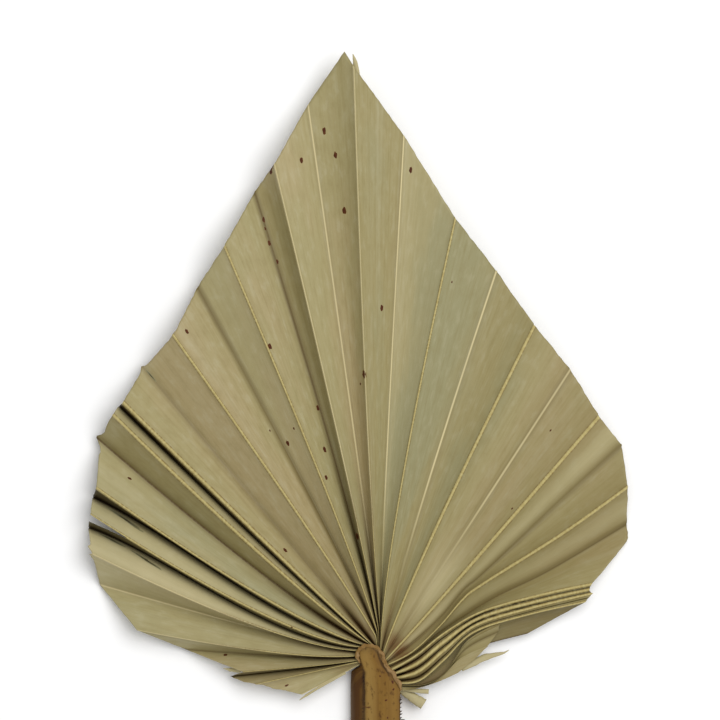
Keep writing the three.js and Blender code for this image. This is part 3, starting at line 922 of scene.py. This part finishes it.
def make_blade():
    """The pleated fan and the flap that lies over its lower right edge, as one piece."""
    sheets = [Sheet(FAN_CREASES, FAN_START), Sheet(FLAP_CREASES, FLAP_START)]
    tops = [point for sheet in sheets for column in sheet.columns for point in column]
    upper, lower = [], []
    for point in tops:
        x, y, z = point["spot"]
        underside = max(z - SHEET_THICKNESS, 0)
        upper.append(in_frame(x, y, underside + SHEET_THICKNESS))
        lower.append(in_frame(x, y, underside))
    faces, smooth, start = [], [], 0
    for sheet in sheets:
        columns = len(sheet.columns) - 1
        new_faces, new_smooth = sheet_faces(start, len(tops), columns, ROW_COUNT, sheet.is_open)
        faces += new_faces
        smooth += new_smooth
        start += len(sheet.columns) * (ROW_COUNT + 1)
    masks = {name: [point["masks"][name] for point in tops] * 2 for name in tops[0]["masks"]}
    plan = [point["plan"] for point in tops] * 2
    return mesh_object("fan_blade", upper + lower, faces, smooth, masks, plan)


def make_torn_strip(name, stations):
    """A thin curled strip along a few stations, each a point of its middle with the half width there."""
    swell, swell_rows = STRIP_RAGGEDNESS
    points, plan = [], []
    for side in (0, -SHEET_THICKNESS):
        for row in range(STRIP_ROWS + 1):
            place = row / STRIP_ROWS * (len(stations) - 1)
            index = min(int(place), len(stations) - 2)
            x, y, z, half = Vector(stations[index]).lerp(Vector(stations[index + 1]), place - index)
            ahead = (Vector(stations[index + 1][:2]) - Vector(stations[index][:2])).normalized()
            half *= 1 + swell * noise.noise(Vector((row / swell_rows, len(name), 0)))
            for column in range(STRIP_COLUMNS + 1):
                out = 2 * column / STRIP_COLUMNS - 1
                curl = STRIP_CURL * half * out * out
                spot = Vector((x, y)) + Vector((-ahead.y, ahead.x)) * out * half
                points.append(in_frame(spot.x, spot.y, z - curl + side))
                plan.append((out * half * MM, row / STRIP_ROWS * STRIP_GRAIN * MM))
    faces, smooth = sheet_faces(0, len(points) // 2, STRIP_ROWS, STRIP_COLUMNS)
    masks = {"tone": [STRIP_TONE] * len(points), "pale_and_lit": [STRIP_PALENESS] * len(points)}
    return mesh_object(name, points, faces, smooth, masks, plan)


def surface_of(piece):
    """A tree of a piece's faces, for finding what lies under a point."""
    points = [vertex.co for vertex in piece.data.vertices]
    faces = [list(face.vertices) for face in piece.data.polygons]
    return BVHTree.FromPolygons(points, faces)


def lie_on(surface, spot):
    """The point of a surface under a spot of the plan, or the nearest one past its edge."""
    high = in_frame(spot.x, spot.y, CAMERA_HEIGHT)
    return surface.ray_cast(high, Vector((0, 0, -1)))[0] or surface.find_nearest(high)[0]


def make_specks(name, surface, specks, mask_name="middle"):
    """Small scabs that lie on a surface: the middle of each, the way it points, its length and slimness."""
    points, faces, middle, plan = [], [], [], []
    for centre, along, length, slimness in specks:
        across = Vector((-along.y, along.x))
        first = len(points)
        wobble = [draw.uniform(*SPECK_WOBBLE) for _ in range(SPECK_SIDES)]
        for ring in range(SPECK_RINGS + 1):
            share = ring / SPECK_RINGS
            for side in range(SPECK_SIDES):
                turn = 2 * math.pi * side / SPECK_SIDES
                reach = length / 2 * share * wobble[side]
                spot = centre + (along * math.cos(turn) + across * math.sin(turn) * slimness) * reach
                rise = (SPECK_RISE * (1 - share * share) - SPECK_SINK) * MM
                points.append(lie_on(surface, spot) + Vector((0, 0, rise)))
                middle.append(1 - share)
                plan.append((spot.x * MM, spot.y * MM))
        faces += tube_faces(first, SPECK_RINGS + 1, SPECK_SIDES)
    return mesh_object(name, points, faces, None, {mask_name: middle}, plan)


def leaf_specks():
    """Specks of the blade, each with its long way along the pleat."""
    specks = []
    for angle, radius, length in SPECKS:
        specks.append((polar(angle, radius), polar(angle, 1), length * SPECK_HALO, SPECK_SLIMNESS))
    return specks


def marks(rows):
    """Specks and cracks that each have their own way and slimness."""
    return [(Vector(spot), polar(turn, 1), length, slimness) for *spot, turn, length, slimness in rows]


# Stalk

def front_height(x):
    return FRONT_HEIGHT + FRONT_TILT * x


def sway(y):
    share = max(STRAIGHT_FROM - y, 0) / STALK_LENGTH
    return STALK_SWAY * share * share


def flank_points(start, end, places):
    """Smooth points down one flank of the stalk's section."""
    corners = [(lerp(start, end, share), front_height(start) * rise) for share, rise in places]
    count = (len(corners) - 1) * FLANK_SMOOTHING
    return [spline(corners, index / count) for index in range(count + 1)]


def stalk_section(y):
    """Outline of the stalk at one place: the front, the right flank, the underside and the left flank."""
    left, margin, right = (ramp(side, y) for side in (STALK_LEFT, STALK_MARGIN, STALK_RIGHT))
    front = []
    for index in range(1, FRONT_COLUMNS):
        share = index / FRONT_COLUMNS
        x = lerp(margin, right, share)
        front.append((x, front_height(x) + FRONT_BULGE * 4 * share * (1 - share)))
    outline = front + flank_points(right, margin, RIGHT_FLANK) + flank_points(margin, left, LEFT_FLANK)
    return [Vector(point) for point in outline]


def stalk_rows():
    shaft = round((STALK_LENGTH + STRAIGHT_FROM) / SHAFT_STEP)
    head = round((HEAD_TOP - STRAIGHT_FROM) / HEAD_STEP)
    rows = [lerp(-STALK_LENGTH, STRAIGHT_FROM, index / shaft) for index in range(shaft)]
    return rows + [lerp(STRAIGHT_FROM, HEAD_TOP, index / head) for index in range(head + 1)]


def front_darkness(spot, y):
    """How black the stalk's front is along its margins, with painted shade under the lip and below the top of
    the head.
    """
    if spot.y < front_height(spot.x) * FRONT_FROM:
        return 0
    right = ramp(STALK_RIGHT, y)
    stray, stray_length = DARK_WAVE
    left = ramp(STALK_MARGIN, y) + stray * noise.noise(Vector((0, y / stray_length, 0)))
    shades = []
    for margin, (top, spread) in ((left, LEFT_DARK), (right, RIGHT_DARK)):
        shades.append(fade(spot.x - margin, spread) * fade(max(y - top, 0), DARK_EASE))
    # painted shade under the lip and below the top of the head
    foot, ease, inset, spread, strength = LIP_SHADE
    shades.append(strength * fade(spot.x - right + inset, spread) * fade(min(y - foot, 0), ease))
    length, strength = HEAD_SHADE
    shades.append(strength * fade(y - HEAD_TOP, length))
    return max(shades)


def make_stalk():
    """The stalk's body: rings along its length with a fibrous relief, closed at both ends."""
    rows = stalk_rows()
    points, plan = [], []
    masks = {"dark": [], "flank": [], "lit": []}
    lit_place, lit_spread, lit_strength = LIT_STREAK
    for y in rows:
        outline = stalk_section(y)
        margin = ramp(STALK_MARGIN, y)
        middle = sum(outline, Vector((0, 0))) / len(outline)
        around = 0
        for index, spot in enumerate(outline):
            fibre = noise.noise(Vector((index * FIBRE_CROWDING, y / FIBRE_LENGTH, 3)))
            inward = (middle - spot).normalized()
            place = spot + inward * FIBRE_RELIEF * (0.5 + fibre)
            slant = CUT_SLANT * place.x if y == -STALK_LENGTH else 0
            points.append(in_frame(place.x + sway(y), y + slant, max(place.y, 0)))
            around += (spot - outline[index - 1]).length if index else 0
            plan.append((around * MM, y * MM))
            masks["dark"].append(front_darkness(spot, y))
            # painted shade on the left flank
            masks["flank"].append(FLANK_SHADE if spot.x < margin else 0)
            masks["lit"].append(lit_strength * fade(spot.x - margin - lit_place, lit_spread))
    faces = closed_tube(len(rows), len(outline))
    smooth = [True] * (len(faces) - 2) + [False, False]
    return mesh_object("stalk_body", points, faces, smooth, masks, plan)


def make_hastula():
    """The raised rim that arches over the head of the stalk, a lumpy rounded lip."""
    points, plan = [], []
    thins_from, thins_over = HASTULA_TAPER
    lump_size, lump_steps = HASTULA_LUMPS
    wander, wander_steps = HASTULA_WANDER
    for index in range(HASTULA_STEPS + 1):
        share = index / HASTULA_STEPS
        spot = spline(HASTULA_CREST, share)
        ahead = heading(HASTULA_CREST, share)
        outward = Vector((-ahead.y, ahead.x))
        taper = fade(max(abs(share - 0.5) - thins_from, 0), thins_over)
        spot += outward * wander * noise.noise(Vector((index / wander_steps, 9, 0)))
        for side in range(HASTULA_SIDES):
            turn = 2 * math.pi * side / HASTULA_SIDES
            lump = 1 + lump_size * noise.noise(Vector((index / lump_steps, math.cos(turn), math.sin(turn))))
            wide = HASTULA_HALF_WIDTH * taper * lump * math.cos(turn)
            high = HASTULA_HALF_HEIGHT * taper * lump * math.sin(turn)
            place = spot + outward * wide
            points.append(in_frame(place.x, place.y, front_height(spot.x) + HASTULA_RISE + high))
            plan.append((side / HASTULA_SIDES * HASTULA_GRAIN[0] * MM, share * HASTULA_GRAIN[1] * MM))
    faces = closed_tube(HASTULA_STEPS + 1, HASTULA_SIDES)
    return mesh_object("hastula", points, faces, None, {"lip": [1.0] * len(points)}, plan)


def add_tooth(points, faces, root, lean, length, radius):
    """One leaning spike with a sunk root."""
    lean = lean.normalized()
    side_way = lean.cross(Vector((0, 0, 1))).normalized()
    up_way = side_way.cross(lean)
    first = len(points)
    for share, width in TOOTH_RINGS:
        for side in range(TOOTH_SIDES):
            turn = 2 * math.pi * side / TOOTH_SIDES
            out = side_way * math.cos(turn) + up_way * math.sin(turn) * TOOTH_FLATNESS
            points.append(root + lean * length * share + out * radius * width)
    points.append(root + lean * length)
    faces += [face[::-1] for face in tube_faces(first, len(TOOTH_RINGS), TOOTH_SIDES)]
    tip = len(points) - 1
    last = tip - TOOTH_SIDES
    faces += [[last + side, last + (side + 1) % TOOTH_SIDES, tip] for side in range(TOOTH_SIDES)]
    faces.append([first + side for side in reversed(range(TOOTH_SIDES))])


def make_teeth():
    """Spines and small teeth along both margins of the stalk's front."""
    points, faces = [], []
    kinds = ((SPINE_PITCH, SPINE_SIZE, STRAIGHT_FROM), (TOOTH_PITCH, TOOTH_SIZE, TEETH_FROM))
    for margin, outward in ((STALK_MARGIN, -1), (STALK_RIGHT, 1)):
        for pitch, (length, radius), top in kinds:
            y = top - (pitch / 2 if outward > 0 else 0)
            while y > -STALK_LENGTH + pitch:
                size = draw.uniform(*TOOTH_SCALES)
                spot = y + draw.uniform(-TOOTH_STRAY, TOOTH_STRAY) * TOOTH_PITCH
                x = ramp(margin, spot)
                root = in_frame(x + sway(spot), spot, front_height(x) - radius)
                lean = Vector((outward, draw.uniform(*TOOTH_LEANS), TOOTH_LIFT))
                add_tooth(points, faces, root, lean, length * size * MM, radius * size * MM)
                y -= pitch
    plan = [(point.x, point.y) for point in points]
    return mesh_object("stalk_teeth", points, faces, None, {"dark": [1.0] * len(points)}, plan)


# Stage

def make_floor():
    corners = [(-1, -1, 0), (1, -1, 0), (1, 1, 0), (-1, 1, 0)]
    points = [Vector(corner) * FLOOR_HALF_SIZE - Vector((0, 0, FLOOR_GAP)) for corner in corners]
    floor = mesh_object("floor", [point * MM for point in points], [[0, 1, 2, 3]])
    material, _, shader = new_material("floor_paper", roughness=0.9, specular=0.1)
    shader.inputs["Base Color"].default_value = linear(FLOOR_WHITE)
    floor.data.materials.append(material)


def make_light():
    """A round soft light at a spot above the middle of the view, turned to it."""
    light = bpy.data.lights.new("key", "AREA")
    light.shape = "DISK"
    light.size = KEY_SIZE * MM
    light.energy = KEY_POWER
    holder = add_object("key", light)
    holder.location = (Vector((*VIEW_CENTRE, 0)) + KEY_SPOT) * MM
    holder.rotation_euler = (-KEY_SPOT).to_track_quat("-Z", "Y").to_euler()


def make_world():
    """Even white light from all sides."""
    world = bpy.data.worlds.new("studio")
    world.use_nodes = True
    background = world.node_tree.nodes["Background"]
    background.inputs["Color"].default_value = (1, 1, 1, 1)
    background.inputs["Strength"].default_value = FILL_STRENGTH
    bpy.context.scene.world = world
    bpy.context.scene.view_settings.view_transform = "Standard"


def make_camera():
    camera = bpy.data.cameras.new("camera")
    camera.lens = camera.sensor_width * (CAMERA_HEIGHT - LEAF_HEIGHT) / VIEW_WIDTH
    holder = add_object("camera", camera)
    holder.location = Vector((*VIEW_CENTRE, CAMERA_HEIGHT)) * MM
    bpy.context.scene.camera = holder


def dress(piece, material, node=None):
    """Give a piece its material and its place in the frame."""
    piece.data.materials.append(material)
    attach(piece, "root")
    if node:
        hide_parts(node)


# The whole scene

make_camera()
make_floor()
make_light()
make_world()
leaf_look = blade_material()
stalk_look = stalk_material()
speck_look = speck_material()
blade = make_blade()
dress(blade, leaf_look, "leaf_blade")
for strip_name, stations in TORN_STRIPS.items():
    dress(make_torn_strip(strip_name, stations), leaf_look)
dress(make_specks("leaf_specks", surface_of(blade), leaf_specks()), speck_look)
# thin cracks, their dark middles painted with the black gap shade
dress(make_specks("leaf_cracks", surface_of(blade), marks(LEAF_CRACKS), "gap"), leaf_look)
stalk = make_stalk()
dress(stalk, stalk_look, "leaf_stalk")
dress(make_hastula(), stalk_look)
dress(make_teeth(), stalk_look)
dress(make_specks("stalk_specks", surface_of(stalk), marks(STALK_SPECKS)), speck_look)
